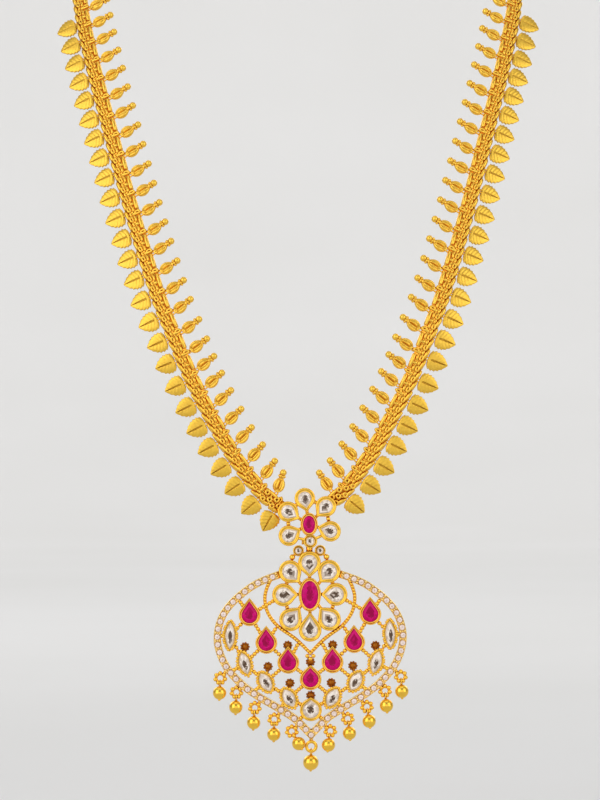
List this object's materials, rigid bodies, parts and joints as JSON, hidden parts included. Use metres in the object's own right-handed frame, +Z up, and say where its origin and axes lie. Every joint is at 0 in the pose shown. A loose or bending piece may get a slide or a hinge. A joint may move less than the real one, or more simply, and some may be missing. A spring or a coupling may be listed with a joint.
{
  "type": "long necklace with pendant",
  "caption": "Long gold necklace: flat woven chain fringed with small leaves and pods, a jewelled flower and a hinged onion-shaped pendant with ball drops.",
  "frame": {"origin": "inside face of the clasp at the nape of the neck, half way along the back of the loop", "axes": "+Z up, -Y to the front where the pendant hangs, +X to the viewer's right when the front is looked at"},
  "size_m": [0.1404, 0.1557, 0.3211],
  "materials": {
    "chain_gold": "polished yellow gold, woven links with dark warm crevices",
    "drop_gold": "satin yellow gold with polished edges",
    "ball_gold": "mirror-polished yellow gold",
    "setting_gold": "polished yellow gold with fine cast grain",
    "ruby": "polished faceted pink-red stone with foil behind",
    "white_stone": "polished clear stone over dark foil",
    "rim_stone": "small polished clear stone"
  },
  "bodies": {
    "necklace": {"chain_band_left": "chain_gold", "chain_band_right": "chain_gold", "leaf_drops_left": "drop_gold", "leaf_drops_right": "drop_gold", "pod_drops_left": "drop_gold", "pod_drops_right": "drop_gold", "clasp": "chain_gold", "flower_setting": "setting_gold", "flower_ruby": "ruby", "flower_round_white": "white_stone", "flower_white_1": "white_stone", "flower_white_2": "white_stone", "flower_white_3": "white_stone", "flower_white_4": "white_stone", "flower_white_5": "white_stone"},
    "pendant": {"pendant_frame": "setting_gold", "pendant_ruby": "ruby", "link_white_left": "white_stone", "link_white_right": "white_stone", "petal_white_1": "white_stone", "petal_white_2": "white_stone", "petal_white_3": "white_stone", "petal_white_4": "white_stone", "petal_white_5": "white_stone", "petal_white_6": "white_stone", "petal_white_7": "white_stone", "petal_white_8": "white_stone", "pear_ruby_1": "ruby", "pear_ruby_2": "ruby", "pear_ruby_3": "ruby", "pear_ruby_4": "ruby", "pear_ruby_5": "ruby", "pear_ruby_6": "ruby", "pear_ruby_7": "ruby", "marquise_1": "white_stone", "marquise_2": "white_stone", "marquise_3": "white_stone", "marquise_4": "white_stone", "marquise_5": "white_stone", "marquise_6": "white_stone", "marquise_7": "white_stone", "marquise_8": "white_stone", "base_white": "white_stone", "rim_stones": "rim_stone", "ball_drop_1": "ball_gold", "ball_drop_2": "ball_gold", "ball_drop_3": "ball_gold", "ball_drop_4": "ball_gold", "ball_drop_5": "ball_gold", "ball_drop_6": "ball_gold", "ball_drop_7": "ball_gold", "ball_drop_8": "ball_gold", "ball_drop_9": "ball_gold", "ball_drop_10": "ball_gold", "ball_drop_11": "ball_gold"}
  },
  "joints": [
    {"name": "pendant_hinge", "type": "hinge", "parent": "necklace", "child": "pendant", "pos_m": [0.0017, -0.1494, -0.2538], "axis": [1, 0, 0], "range_deg": [-15, 75]}
  ]
}
